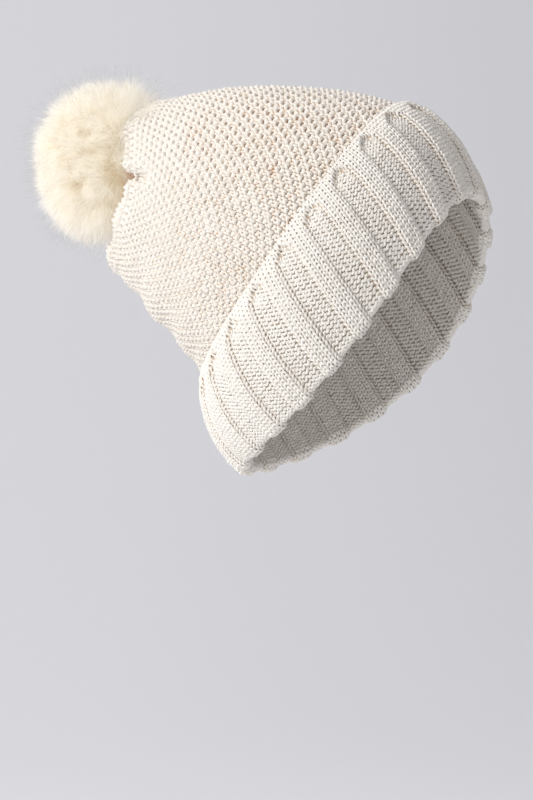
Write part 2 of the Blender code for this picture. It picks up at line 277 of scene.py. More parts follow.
def aside_of(theta, place):
    """How far an angle lies from another, the short way round."""
    return np.angle(np.exp(1j * (theta - place)))


def fold_depth(v, theta):
    """How far the slack crown stands in or out of its smooth shape."""
    pleats = 0.5 + 0.5 * np.cos(PLEATS * theta + 1.3 * np.sin(2 * theta + 0.7))
    gathered = -PLEAT_DEPTH * smooth(*PLEAT_START, v) * pleats * (1 - 0.5 * smooth(*PLEAT_END, v))
    across = np.exp(-((aside_of(theta, CREASE_ANGLE) / CREASE_WIDTH) ** 2))
    crease = -CREASE_DEPTH * across * smooth(*CREASE_START, v) * (1 - smooth(*CREASE_END, v))
    behind = np.exp(-((aside_of(theta, math.pi) / RIPPLE_WIDTH) ** 2))
    ripples = RIPPLE_DEPTH * behind * np.cos(TAU * RIPPLES * v + RIPPLE_PHASE)
    ripples = ripples * smooth(*RIPPLE_START, v) * (1 - smooth(*RIPPLE_END, v))
    lumps = sum(deep * np.sin(around * theta + upward * v + phase) for deep, around, upward, phase in LUMPS)
    shoulder = SHOULDER_RISE * np.exp(-(((v - SHOULDER_PLACE) / SHOULDER_WIDTH) ** 2))
    shoulder = shoulder * (SHOULDER_AT_SIDES + (1 - SHOULDER_AT_SIDES) * np.cos(theta) ** 2)
    return gathered + crease + ripples + shoulder + lumps * smooth(*LUMPS_START, v)


def with_normal(surface, a, b, step=1e-3):
    """(points, outward normals) of a surface given by two parameters."""
    da = surface(a + step, b) - surface(a - step, b)
    db = surface(a, b + step) - surface(a, b - step)
    return surface(a, b), unit(np.cross(db, da))


def crown_surface(v, theta):
    point, normal = with_normal(crown_smooth, np.clip(v, 0.002, 1.995), theta)
    return point + normal * fold_depth(v, theta)[..., None], normal


def crown_inner(v, theta):
    point, normal = crown_surface(v, theta)
    return point - normal * CROWN_SHADE_SHEET_DEPTH, normal


def cuff_smooth(q, theta):
    """The band's middle line: q runs 0 to 1 down the inside, round the fold and up the outside."""
    brim = (BRIM_FRONT, BRIM_BACK, BRIM_HALF_WIDTH, BRIM_SADDLE)
    top_in, low = crown_ring(np.zeros_like(q), theta), ring(*brim, theta)
    out = unit(ring(*brim, theta, 0.01) - low)
    down = low - top_in
    down = unit(down - out * (down * out).sum(-1, keepdims=True))
    outside = np.where(q > FOLD_END, (1 - q) / (1 - FOLD_END), 1.0)
    share = np.where(q < INNER_END, q / INNER_END, outside)
    hump = 4 * share * (1 - share)
    inner = CUFF_HEAD_BULGE * hump - CUFF_FOLD_RADIUS * share
    outer = (CUFF_HEAD_BULGE + CUFF_OUTER_PUFF) * hump + mix(CUFF_LAYER_SPACING, CUFF_FOLD_RADIUS, share)
    outer = outer - CUFF_EDGE_LEAN * np.clip(1 - share / CUFF_LEAN_SHARE, 0.0, 1.0) ** 2
    offset = np.where(q < 0.5, inner, outer)
    flat = top_in + (low - top_in) * share[..., None] + out * offset[..., None]
    turn = np.clip((q - INNER_END) / (FOLD_END - INNER_END), 0.0, 1.0) * math.pi - math.pi / 2
    fold = low + CUFF_FOLD_RADIUS * (out * np.sin(turn)[..., None] + down * np.cos(turn)[..., None])
    folding = ((q > INNER_END) & (q < FOLD_END))[..., None]
    return np.where(folding, fold, flat)


def even_angles(surface_ring):
    """Angles at equal distances along a ring, as a lookup (share of the ring, angle)."""
    theta = np.linspace(0.0, TAU, 1441)
    points = surface_ring(theta)
    length = np.concatenate(([0.0], np.cumsum(np.linalg.norm(np.diff(points, axis=0), axis=1))))
    return length / length[-1], theta


CUFF_LOOKUP = even_angles(lambda theta: cuff_smooth(np.full_like(theta, 0.8), theta))
CROWN_LOOKUP = even_angles(lambda theta: crown_smooth(np.full_like(theta, 0.35), theta))


def angle_at(lookup, share):
    whole = np.floor(share)
    return np.interp(share - whole, *lookup) + whole * TAU


# ---------------------------------------------------------------- meshes
def new_object(name, points, faces, uv=None, values=None):
    """A mesh object from arrays; faces is (n, 3) or (n, 4), values are per-point attributes."""
    mesh = bpy.data.meshes.new(name)
    count, corners = faces.shape
    mesh.vertices.add(len(points))
    mesh.vertices.foreach_set("co", points.astype(np.float32).ravel())
    mesh.loops.add(count * corners)
    mesh.loops.foreach_set("vertex_index", faces.astype(np.int32).ravel())
    mesh.polygons.add(count)
    mesh.polygons.foreach_set("loop_start", np.arange(0, count * corners, corners, dtype=np.int32))
    mesh.update(calc_edges=True)
    mesh.polygons.foreach_set("use_smooth", np.ones(count, bool))
    if uv is not None:
        layer = mesh.uv_layers.new(name="yarn")
        layer.data.foreach_set("uv", uv[faces.ravel()].astype(np.float32).ravel())
    for key, value in (values or {}).items():
        attribute = mesh.attributes.new(key, "FLOAT", "POINT")
        attribute.data.foreach_set("value", value.astype(np.float32))
    obj = bpy.data.objects.new(name, mesh)
    bpy.context.scene.collection.objects.link(obj)
    return obj


def grid_quads(rows, columns):
    """Faces of a grid of points that closes on itself along its rows."""
    row, column = np.meshgrid(np.arange(rows - 1), np.arange(columns), indexing="ij")
    beside = (column + 1) % columns
    low, high = row * columns, (row + 1) * columns
    return np.stack((low + column, low + beside, high + beside, high + column), -1).reshape(-1, 4)


def tubes(paths, normals, radius, sides):
    """Points, faces and uv of closed tubes along paths (rows, steps, 3); radius is per point."""
    rows, steps = paths.shape[:2]
    ahead = unit(np.roll(paths, -1, 1) - np.roll(paths, 1, 1))
    across = unit(np.cross(ahead, normals))
    up = np.cross(across, ahead)
    turn = np.linspace(0, TAU, sides, endpoint=False)
    rim = up[..., None, :] * np.cos(turn)[:, None] + across[..., None, :] * np.sin(turn)[:, None]
    points = paths[:, :, None, :] + radius[..., None, None] * rim
    row, step, side = np.meshgrid(np.arange(rows), np.arange(steps), np.arange(sides), indexing="ij")
    here = (row * steps + step) * sides
    following = (row * steps + (step + 1) % steps) * sides
    beside = (side + 1) % sides
    faces = np.stack((here + side, here + beside, following + beside, following + side), -1)
    length = np.cumsum(np.linalg.norm(np.diff(paths, axis=1, prepend=paths[:, :1]), axis=2), axis=1)
    uv = np.stack(np.broadcast_arrays(length[..., None], turn / TAU), -1)
    return points.reshape(-1, 3), faces.reshape(-1, 4), uv.reshape(-1, 2)


def wale_signs(signs, wale, share):
    """+1 on a knit stitch and -1 on a purl one, passing smoothly where neighbours differ."""
    here = signs[:, wale]
    before, after = signs[:, wale - 1], signs[:, (wale + 1) % signs.shape[1]]
    lead = np.clip(0.5 - share / (2 * SIGN_REACH), 0.0, 0.5)
    tail = np.clip(0.5 - (1 - share) / (2 * SIGN_REACH), 0.0, 0.5)
    return here * (1 - lead - tail) + before * lead + after * tail


def knit(surface, lookup, rows, wales, signs, relief, loop, yarn):
    """Courses of interlocked loops on a surface: (points, faces, uv, how deep each point lies).

    rows are the courses' places on the surface, signs[row, wale] is the stitch's side (one row
    more than there are courses), and relief(share of the ring, row index) raises the fabric.
    """
    height, pinch, depth, uneven, plump = loop
    count = len(rows)
    pitch = np.gradient(rows)
    tau = np.arange(wales * LOOP_STEPS) / LOOP_STEPS
    wale, share = tau.astype(int), tau % 1.0
    turn = TAU * share
    local = np.random.default_rng(wales * 100 + count)
    jitter = local.normal(0, 1, (count, wales, 3)) * uneven
    before, after = jitter[:, wale], jitter[:, (wale + 1) % wales]
    jitter = before * (1 - share)[None, :, None] + after * share[None, :, None]
    x = tau + pinch / TAU * np.sin(2 * turn) + UNEVEN_PLACE * jitter[..., 0]
    y = -height / 2 * np.cos(turn) + UNEVEN_PLACE * jitter[..., 1]
    low = wale_signs(signs[:-1], wale, share)
    high = wale_signs(signs[1:], wale, share)
    rise = smooth(*SIGN_CHANGE, (1 - np.cos(turn)) / 2)
    z = -depth * np.cos(2 * turn) * mix(low, high, rise) + depth * UNEVEN_DEPTH * jitter[..., 2]
    point, normal = surface(rows[:, None] + pitch[:, None] * y, angle_at(lookup, x / wales))
    raised = z + relief(x / wales, np.arange(count)[:, None] + y)
    paths = point + normal * raised[..., None]
    width = yarn * (1 + UNEVEN_WIDTH * jitter[..., 2]) * (1 + plump * (2 * np.abs(z) / depth - 1))
    # How deep the yarn's surface lies in the stitch, which the yarn material turns into painted shade.
    around = np.cos(np.linspace(0, TAU, YARN_SIDES, endpoint=False))
    level = z[..., None] + width[..., None] * around
    deep = 1 - smooth(0.0, depth + DEEP_MARGIN * yarn, np.abs(level))
    return (*tubes(paths, normal, width, YARN_SIDES), deep.ravel())


# ---------------------------------------------------------------- materials
def node_material(name, colour, roughness, sheen=0.0):
    mat = bpy.data.materials.new(name)
    mat.use_nodes = True
    shader = mat.node_tree.nodes["Principled BSDF"]
    shader.inputs["Base Color"].default_value = (*colour, 1)
    shader.inputs["Roughness"].default_value = roughness
    shader.inputs["Specular IOR Level"].default_value = 0.25
    shader.inputs["Sheen Weight"].default_value = sheen
    shader.inputs["Sheen Roughness"].default_value = 0.5
    return mat, shader


def add(mat, kind, **settings):
    node = mat.node_tree.nodes.new(kind)
    for key, value in settings.items():
        setattr(node, key, value)
    return node


def noise(mat, scale, detail):
    """Noise fixed to the object's own coordinates."""
    place = add(mat, "ShaderNodeTexCoord")
    node = add(mat, "ShaderNodeTexNoise")
    node.inputs["Scale"].default_value = scale
    node.inputs["Detail"].default_value = detail
    mat.node_tree.links.new(place.outputs["Object"], node.inputs["Vector"])
    return node.outputs["Fac"]


def ramp(mat, source, stops):
    node = mat.node_tree.nodes.new("ShaderNodeValToRGB")
    elements = node.color_ramp.elements
    while len(elements) < len(stops):
        elements.new(0.5)
    for element, (place, colour) in zip(elements, stops):
        element.position = place
        element.color = (*colour, 1)
    mat.node_tree.links.new(source, node.inputs["Fac"])
    return node.outputs["Color"]


def bump(mat, shader, height, strength, distance):
    node = mat.node_tree.nodes.new("ShaderNodeBump")
    node.inputs["Strength"].default_value = strength
    node.inputs["Distance"].default_value = distance
    mat.node_tree.links.new(height, node.inputs["Height"])
    mat.node_tree.links.new(node.outputs["Normal"], shader.inputs["Normal"])


def yarn_material(name, shadow, dark, light, ply_length, yarn_radius):
    """Soft spun yarn: plies wound along the yarn's own length, loose fibres and uneven dye, with painted
    shade where the yarn lies deep between the loops.
    """
    mat, shader = node_material(name, light, 0.88, sheen=0.25)
    links = mat.node_tree.links
    uv = add(mat, "ShaderNodeUVMap", uv_map="yarn")
    mapping = add(mat, "ShaderNodeMapping")
    mapping.inputs["Scale"].default_value = (1 / ply_length, 3.0, 1.0)
    links.new(uv.outputs["UV"], mapping.inputs["Vector"])
    split = add(mat, "ShaderNodeSeparateXYZ")
    links.new(mapping.outputs["Vector"], split.inputs["Vector"])
    phase = add(mat, "ShaderNodeMath", operation="ADD")
    links.new(split.outputs["X"], phase.inputs[0])
    links.new(split.outputs["Y"], phase.inputs[1])
    angle = add(mat, "ShaderNodeMath", operation="MULTIPLY")
    links.new(phase.outputs[0], angle.inputs[0])
    angle.inputs[1].default_value = TAU
    wave = add(mat, "ShaderNodeMath", operation="SINE")
    links.new(angle.outputs[0], wave.inputs[0])
    plies = add(mat, "ShaderNodeMapRange")
    links.new(wave.outputs[0], plies.inputs["Value"])
    plies.inputs["From Min"].default_value = -1.0
    blend = add(mat, "ShaderNodeMix", data_type="FLOAT")
    links.new(plies.outputs["Result"], blend.inputs[2])
    links.new(noise(mat, 1.2 / yarn_radius, 3.0), blend.inputs[3])
    blend.inputs[0].default_value = 0.5
    tone = add(mat, "ShaderNodeMix", data_type="FLOAT")
    tone.inputs[0].default_value = 0.3
    links.new(blend.outputs[0], tone.inputs[2])
    links.new(noise(mat, 45.0, 2.0), tone.inputs[3])
    surface = ramp(mat, tone.outputs[0], ((0.2, dark), (0.62, light)))
    # Painted shade: yarn lying deep between the loops takes the shadow colour.
    deep = add(mat, "ShaderNodeAttribute", attribute_name="deep")
    depth = add(mat, "ShaderNodeMapRange")
    links.new(deep.outputs["Fac"], depth.inputs["Value"])
    depth.inputs["From Min"].default_value = 0.25
    depth.inputs["From Max"].default_value = 0.8
    sunk = add(mat, "ShaderNodeMix", data_type="RGBA")
    links.new(depth.outputs["Result"], sunk.inputs[0])
    links.new(surface, sunk.inputs[6])
    sunk.inputs[7].default_value = (*shadow, 1)
    links.new(sunk.outputs[2], shader.inputs["Base Color"])
    bump(mat, shader, blend.outputs[0], 0.4, yarn_radius * 0.5)
    return mat


def fur_material(name, stops, glow):
    """Fur coloured along each strand by its "along" value, with strand to strand variation and a faint
    painted glow.
    """
    mat, shader = node_material(name, stops[0][1], 0.6, sheen=0.3)
    links = mat.node_tree.links
    along = add(mat, "ShaderNodeAttribute", attribute_name="along")
    colour = ramp(mat, along.outputs["Fac"], stops)
    tint = add(mat, "ShaderNodeAttribute", attribute_name="tint")
    shade = add(mat, "ShaderNodeHueSaturation")
    links.new(colour, shade.inputs["Color"])
    links.new(tint.outputs["Fac"], shade.inputs["Value"])
    links.new(shade.outputs["Color"], shader.inputs["Base Color"])
    through = add(mat, "ShaderNodeBsdfTranslucent")
    links.new(shade.outputs["Color"], through.inputs["Color"])
    both = add(mat, "ShaderNodeMixShader")
    both.inputs[0].default_value = 0.5
    # Painted light: the fur glows faintly, standing in for light scattered through the pale fur.
    shader.inputs["Emission Color"].default_value = (1.0, 0.90, 0.74, 1)
    shader.inputs["Emission Strength"].default_value = glow
    links.new(shader.outputs["BSDF"], both.inputs[1])
    links.new(through.outputs["BSDF"], both.inputs[2])
    output = mat.node_tree.nodes["Material Output"]
    links.new(both.outputs[0], output.inputs["Surface"])
    return mat


def cloth_material(name, dark, light, scale, roughness=0.8, sheen=0.3):
    """A fibrous or moulded surface, or a sheet of painted shade, with a fine grain and uneven colour."""
    mat, shader = node_material(name, light, roughness, sheen=sheen)
    grain = noise(mat, scale, 4.0)
    colour = ramp(mat, grain, ((0.3, dark), (0.7, light)))
    mat.node_tree.links.new(colour, shader.inputs["Base Color"])
    bump(mat, shader, grain, 0.4, 0.0003)
    return mat


# ---------------------------------------------------------------- the knitted pieces
def dress(obj, mat, body, slot, *nodes):
    obj.data.materials.clear()
    obj.data.materials.append(mat)
    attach(obj, body)
    if nodes:
        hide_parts(*nodes)


def in_groups(points, faces, uv, deep, rows, group):
    """Splits a stack of equal tubes into objects of at most group courses."""
    per_point, per_face = len(points) // rows, len(faces) // rows
    for start in range(0, rows, group):
        stop = min(rows, start + group)
        chosen = faces[start * per_face : stop * per_face] - start * per_point
        span = slice(start * per_point, stop * per_point)
        yield points[span], chosen, uv[span], {"deep": deep[span]}


def rib_signs():
    """The cuff's stitches: four knit and four purl wales, with rounded arches at the free edge."""
    wale = np.arange(CUFF_WALES) % RIB_REPEAT
    signs = np.where(wale < RIB_KNIT, 1.0, -1.0)[None].repeat(CUFF_COURSES + 1, 0)
    signs[-2:] = 1.0
    narrow = (wale >= RIB_KNIT + 1) & (wale <= RIB_REPEAT - 2)
    signs[-4:-2] = np.where(narrow, -1.0, 1.0)
    return signs


def rib_relief(share, row):
    """Ribs stand up between sunken purl panels; the panels end in arches below a raised edge."""
    phase = (share * CUFF_WALES / RIB_REPEAT) % 1.0
    middle = (RIB_KNIT + RIB_REPEAT - 1) / 2 / RIB_REPEAT + 0.5 / RIB_REPEAT
    away = np.abs((phase - middle + 0.5) % 1.0 - 0.5) * RIB_REPEAT
    left = CUFF_COURSES - row
    arch = np.clip((left - ARCH_START) / ARCH_COURSES, 0.0, 1.0)
    half_panel = PANEL_HALF_WIDTH * np.sqrt(arch)
    sunk = 1 - smooth(half_panel - PANEL_WALL[0], half_panel + PANEL_WALL[1], away)
    sunk = sunk * (arch > 0)
    edge = 1 - smooth(*EDGE_COURSES, left)
    hollow = 1 - smooth(*ARCH_HOLLOW, left)
    return RIB_RISE - (PANEL_DEPTH + ARCH_DEPTH * hollow) * sunk + EDGE_RISE * edge


def cuff_surface(q, theta):
    return with_normal(cuff_smooth, q, theta, 4e-4)


def cuff_stitch_surface(q, theta):
    return cuff_surface(np.clip(q, 0.001, 0.999), theta)


def cuff_inner(q, theta):
    """The cuff's sheet of painted shade, which follows the ribs and panels."""
    point, normal = cuff_surface(q, theta)
    share = np.interp(theta, CUFF_LOOKUP[1], CUFF_LOOKUP[0])
    return point + normal * (rib_relief(share, q * CUFF_COURSES) - CUFF_SHADE_SHEET_DEPTH)[..., None], normal


def make_cuff(mat):
    inner = np.linspace(CUFF_FIRST, INNER_END, INNER_COURSES, endpoint=False)
    fold = np.linspace(INNER_END, FOLD_END, FOLD_COURSES, endpoint=False)
    outer = np.linspace(FOLD_END, CUFF_LAST, OUTER_COURSES)
    rows = np.concatenate((inner, fold, outer))
    stitches = knit(
        cuff_stitch_surface, CUFF_LOOKUP, rows, CUFF_WALES, rib_signs(), rib_relief, CUFF_LOOP, CUFF_YARN
    )
    for k, part in enumerate(in_groups(*stitches, CUFF_COURSES, CUFF_PIECE_COURSES)):
        obj = new_object(f"cuff_knit_{k + 1}", *part)
        dress(obj, mat, "hat", "cuff_yarn", "cuff_band")


def no_relief(share, row):
    return 0.0


def make_crown(mat):
    """Moss stitch: knit and purl stitches change places from course to course."""
    total = CROWN_COURSES + CAP_COURSES
    side = np.linspace(CROWN_FIRST, 1.0, CROWN_COURSES, endpoint=False)
    cap = 1.0 + CAP_REACH * np.linspace(0.0, 1.0, CAP_COURSES)
    rows = np.concatenate((side, cap))
    signs = (-1.0) ** (np.arange(total + 1)[:, None] + np.arange(CROWN_WALES)[None])
    points, faces, uv, deep = knit(
        crown_surface, CROWN_LOOKUP, rows, CROWN_WALES, signs, no_relief, CROWN_LOOP, CROWN_YARN
    )
    # Painted shade between the loops is lighter over the last courses, towards the gather.
    course = np.arange(total).repeat(len(deep) // total)
    shade_share = 1 - SHADE_FADE_SHARE * smooth(CROWN_COURSES - SHADE_FADE_COURSES, CROWN_COURSES + 1, course)
    pieces = in_groups(points, faces, uv, deep * shade_share, total, CROWN_PIECE_COURSES)
    for k, part in enumerate(pieces):
        obj = new_object(f"crown_knit_{k + 1}", *part)
        dress(obj, mat, "hat", "crown_yarn", "crown_shell")


def gap_shade_sheet(name, surface, span, rows, mat, slot, node):
    """A thin sheet of painted shade inside the fabric, seen only between the yarns."""
    columns = SHADE_SHEET_COLUMNS
    v = np.linspace(*span, rows)[:, None].repeat(columns, 1)
    theta = np.linspace(0, TAU, columns, endpoint=False)[None].repeat(rows, 0)
    point, normal = surface(v, theta)
    skins = [point + normal * (SHADE_SHEET_WALL * side) for side in (0.5, -0.5)]
    points = np.concatenate([s.reshape(-1, 3) for s in skins])
    quad = grid_quads(rows, columns)
    size = rows * columns
    k = np.arange(columns)
    k2 = (k + 1) % columns
    low_rim = np.stack((k, k2, k2 + size, k + size), -1)
    last_row = (rows - 1) * columns
    high_rim = np.stack((last_row + k + size, last_row + k2 + size, last_row + k2, last_row + k), -1)
    faces = np.concatenate((quad, quad[:, ::-1] + size, low_rim[:, ::-1], high_rim[:, ::-1]))
    obj = new_object(name, points, faces)
    dress(obj, mat, "hat", slot, node)


# ---------------------------------------------------------------- the pom pom
def sphere_directions(count, generator):
    return unit(generator.normal(0, 1, (count, 3)))


def crown_tree():
    """The crown's end as a closed-looking surface that the fur lies against."""
    rows, columns = 60, 120
    v = np.linspace(0.4, 1.99, rows)[:, None].repeat(columns, 1)
    theta = np.linspace(0, TAU, columns, endpoint=False)[None].repeat(rows, 0)
    point, normal = crown_surface(v, theta)
    point = (point + normal * FUR_CLEARANCE).reshape(-1, 3)
    return BVHTree.FromPolygons(point.tolist(), grid_quads(rows, columns).tolist())


def rest_on_crown(paths, tree):
    """Moves strand points that would sink into the crown out to its surface."""
    toward = ((paths - POM_CENTRE) * POM_AXIS).sum(-1)
    for i, j in np.argwhere(toward < FUR_CONTACT_RANGE):
        point = Vector(paths[i, j])
        place, normal = tree.find_nearest(point)[:2]
        if normal.dot(Vector(place) - Vector(CROWN_MIDDLE)) < 0:
            normal = -normal
        if (point - place).dot(normal) < 0.0:
            paths[i, j] = place + normal * 0.0002
    return paths


def within_reach(paths, axis):
    """Shortens strands that would reach past the room the fur has above and behind the pom pom."""
    root = paths[:, :1]
    limit = cad_box[1][axis] + FUR_REACH
    reach = (paths - root)[..., axis].max(1)
    room = limit - root[:, 0, axis]
    share = np.where(reach > room, room / np.maximum(reach, 1e-6), 1.0)
    return root + (paths - root) * share[:, None, None]


def ribbons(paths, width, generator):
    """Flat tapering strands: points, faces. Where points coincide, a strand heads outward."""
    count, steps = paths.shape[:2]
    ahead = unit(np.gradient(paths, axis=1) + 1e-6 * (paths - POM_CENTRE))
    side = unit(np.cross(ahead, generator.normal(0, 1, (count, 1, 3)) + 1e-6))
    half = side * (width / 2)[..., None]
    points = np.stack((paths - half, paths + half), 2)
    strand, step = np.meshgrid(np.arange(count), np.arange(steps - 1), indexing="ij")
    a = (strand * steps + step) * 2
    faces = np.stack((a, a + 1, a + 3, a + 2), -1)
    return points.reshape(-1, 3), faces.reshape(-1, 4)


def make_strands(name, count, sink, length, width, lean, stray, mat, tree, pieces, tufts, seed):
    """Strands grown from the pom pom's fabric ball, leaning together into tufts.

    tufts are their directions, lengths and sweeps; lean is how far a strand follows its tuft, and
    stray how far it strays from it.
    """
    generator = np.random.default_rng(seed)
    out = sphere_directions(count, generator)
    nearest = np.argmax(out @ tufts[0].T, axis=1)
    tuft, reach, sweep = tufts[0][nearest], tufts[1][nearest], tufts[2][nearest]
    tip = unit(mix(out, tuft, lean) + sweep + generator.normal(0, stray, (count, 3)))
    s = np.linspace(0, 1, STRAND_STEPS)[None, :, None]
    root = core_radius(np.arccos(np.clip(out @ POM_AXIS, -1, 1))) - sink
    free = np.maximum(smooth(-0.9, -0.4, out @ POM_AXIS), smooth(0.3, 0.8, out[:, 2]))
    grown = (length - root) * reach * generator.uniform(*STRAND_LENGTHS, count)
    grown = grown * (1 - PRESSED + PRESSED * free)
    grown = grown + LONGER_ABOVE * np.maximum(out[:, 2], 0.0) + LONGER_BELOW * np.maximum(-out[:, 2], 0.0)
    swing = generator.normal(0, STRAND_SWING, (count, 1, 3)) * np.sin(s * math.pi * 1.6)
    heading = unit(mix(out[:, None], tip[:, None], s**1.1))
    paths = POM_CENTRE + out[:, None] * root[:, None, None]
    paths = paths + heading * (s * grown[:, None, None]) + swing * s
    paths[..., 2] -= STRAND_DROOP * s[..., 0] ** 2
    paths = rest_on_crown(within_reach(within_reach(paths, 1), 2), tree)
    taper = width * (1 - STRAND_TAPER * s[..., 0] ** 1.5) * np.ones((count, 1))
    tint = generator.normal(1.0, 0.05, count).clip(0.85, 1.1)
    shaded = smooth(*SHADED_SPAN, out @ POM_AXIS)
    group = math.ceil(count / pieces)
    for k in range(pieces):
        span = slice(k * group, (k + 1) * group)
        points, faces = ribbons(paths[span], taper[span], generator)
        # Painted shade: strands near the neck keep their dark root colour.
        along = s[..., 0] * (1 - SHADED_SHARE * shaded[span, None])
        values = {
            "along": np.repeat(along.ravel(), 2),
            "tint": np.repeat(np.broadcast_to(tint[span, None], along.shape).ravel(), 2),
        }
        obj = new_object(f"{name}_{k + 1}", points, faces, values=values)
        dress(obj, mat, "pom", "faux_fur", "pom_cover")


def core_radius(polar):
    """The fabric ball's reach from the pom pom's centre, by angle from its axis."""
    apart = np.sin(polar) - math.tan(POM_NECK_ANGLE) * np.cos(polar)
    cone = POM_CENTRE_HEIGHT * math.tan(POM_NECK_ANGLE) / np.maximum(apart, 0.2) - CORE_INSET
    return (cone**-CORE_SHARPNESS + CORE_RADIUS**-CORE_SHARPNESS) ** (-1 / CORE_SHARPNESS)


def make_core(mat):
    """The stuffed fabric ball that the fur grows from, puckered at its neck."""
    rows, columns = 40, 64
    polar = np.linspace(0.0, math.pi - NECK_OPENING, rows)[:, None].repeat(columns, 1)
    azimuth = np.linspace(0, TAU, columns, endpoint=False)[None].repeat(rows, 0)
    side = np.array((1.0, 0.0, 0.0))
    other = np.cross(POM_AXIS, side)
    out = (
        np.cos(polar)[..., None] * POM_AXIS
        + np.sin(polar)[..., None]
        * (np.cos(azimuth)[..., None] * side + np.sin(azimuth)[..., None] * other)
    )
    pucker = smooth(*PUCKER_START, polar) * np.cos(PUCKERS * azimuth) * PUCKER_DEPTH
    radius = core_radius(polar) + pucker
    skins = [POM_CENTRE + out * reach[..., None] for reach in (radius, radius - POM_FABRIC)]
    points = np.concatenate([s.reshape(-1, 3) for s in skins])
    quad = grid_quads(rows, columns)[:, [0, 3, 2, 1]]
    size = rows * columns
    rim = (rows - 1) * columns + np.arange(columns)
    rim2 = (rows - 1) * columns + (np.arange(columns) + 1) % columns
    faces = np.concatenate((quad, quad[:, ::-1] + size, np.stack((rim, rim + size, rim2 + size, rim2), -1)))
    obj = new_object("pom_backing", points, faces)
    dress(obj, mat, "pom", "faux_fur", "pom_cover")


# ---------------------------------------------------------------- stage
def make_backdrop():
    """A pale floor that sweeps up all round into a backdrop, so that it shows no corner."""
    floor_height = cad_box[0][2] - FLOOR_DROP
    bend = np.linspace(0.0, math.pi / 2, 24)
    curve = ROOM_RADIUS - ROOM_BEND + ROOM_BEND * np.sin(bend)
    radius = np.concatenate(([0.0], curve, [ROOM_RADIUS]))
    height = np.concatenate(([0.0], ROOM_BEND - ROOM_BEND * np.cos(bend), [2 * ROOM_RADIUS]))
    columns = 96
    turn = np.linspace(0, TAU, columns, endpoint=False)
    points = np.stack(np.broadcast_arrays(
        radius[:, None] * np.cos(turn), radius[:, None] * np.sin(turn), floor_height + height[:, None]
    ), -1)
    floor = new_object("floor", points.reshape(-1, 3), grid_quads(len(radius), columns))
    mat, shader = node_material("floor_paint_and_glow", (0.60, 0.60, 0.62), 0.9)
    place = add(mat, "ShaderNodeTexCoord")
    turned = add(mat, "ShaderNodeMapping", vector_type="TEXTURE")
    turned.inputs["Rotation"].default_value = (0.0, 0.0, CAMERA_AZIMUTH)
    turned.inputs["Scale"].default_value = (ROOM_RADIUS,) * 3
    mat.node_tree.links.new(place.outputs["Object"], turned.inputs["Vector"])
    split = add(mat, "ShaderNodeSeparateXYZ")
    mat.node_tree.links.new(turned.outputs["Vector"], split.inputs["Vector"])
    across = add(mat, "ShaderNodeMapRange")
    mat.node_tree.links.new(split.outputs["X"], across.inputs["Value"])
    across.inputs["From Min"].default_value = -1.0
    # Painted light: the backdrop glows as a soft lamp, brighter on the left of the view and darker to the
    # right.
    glows = [(share, ROOM_GLOW * level) for share, level in ROOM_TONES]
    tones = [(share, (glow, glow, glow * ROOM_BLUE)) for share, glow in glows]
    mat.node_tree.links.new(ramp(mat, across.outputs["Result"], tones), shader.inputs["Emission Color"])
    shader.inputs["Emission Strength"].default_value = 1.0
    floor.data.materials.append(mat)


def make_stage():
    """Soft studio lights, the camera and the backdrop."""
    right = Vector((math.cos(CAMERA_AZIMUTH), math.sin(CAMERA_AZIMUTH), 0))
    ahead = Vector((-math.sin(CAMERA_AZIMUTH), math.cos(CAMERA_AZIMUTH), 0))
    target = -right * AIM_LEFT + Vector((0, 0, AIM_HEIGHT))
    camera = bpy.data.cameras.new("camera")
    camera.lens = CAMERA_LENS
    camera.clip_end = 30
    obj = bpy.data.objects.new("camera", camera)
    obj.location = target - ahead * CAMERA_DISTANCE
    obj.rotation_euler = ahead.to_track_quat("-Z", "Y").to_euler()
    bpy.context.scene.collection.objects.link(obj)
    bpy.context.scene.camera = obj
    make_backdrop()
    # Each light's name, place, size, power in watts and colour.
    lights = (
        ("key", -right * 1.9 - ahead * 1.35 + Vector((0, 0, 0.9)), 1.1, 42, (1.0, 0.99, 0.975)),
        ("fill", right * 1.9 - ahead * 1.3 + Vector((0, 0, 0.1)), 1.8, 4.2, (1.0, 0.92, 0.83)),
        ("top", Vector((0, 0, 1.9)) + ahead * 0.2 - right * 0.5, 1.2, 10, (1.0, 0.99, 0.97)),
    )
    for name, place, size, power, colour in lights:
        light = bpy.data.lights.new(name, "AREA")
        light.shape = "DISK"
        light.size = size
        light.energy = power
        light.color = colour
        lamp = bpy.data.objects.new(name, light)
        lamp.location = place
        lamp.rotation_euler = (Vector(LIGHTS_AIM) - place).to_track_quat("-Z", "Y").to_euler()
        bpy.context.scene.collection.objects.link(lamp)
    world = bpy.data.worlds.new("studio")
    world.use_nodes = True
    background = world.node_tree.nodes["Background"]
    background.inputs["Color"].default_value = (0.9, 0.9, 0.94, 1)
    background.inputs["Strength"].default_value = ROOM_GLOW
    bpy.context.scene.world = world
    bpy.context.scene.view_settings.view_transform = "Standard"


def thread_material(name, dark, light, turn_length, radius):
    """Fine twisted thread: bands wound across its run, uneven in colour."""
    mat, shader = node_material(name, light, 0.6, sheen=0.2)
    links = mat.node_tree.links
    place = add(mat, "ShaderNodeTexCoord")
    bands = add(mat, "ShaderNodeTexWave", wave_type="BANDS", bands_direction="DIAGONAL")
    bands.inputs["Scale"].default_value = 1 / turn_length
    bands.inputs["Distortion"].default_value = 1.5
    bands.inputs["Detail"].default_value = 2.0
    links.new(place.outputs["Object"], bands.inputs["Vector"])
    links.new(ramp(mat, bands.outputs["Fac"], ((0.1, dark), (0.7, light))), shader.inputs["Base Color"])
    bump(mat, shader, bands.outputs["Fac"], 0.6, radius * 0.4)
    return mat


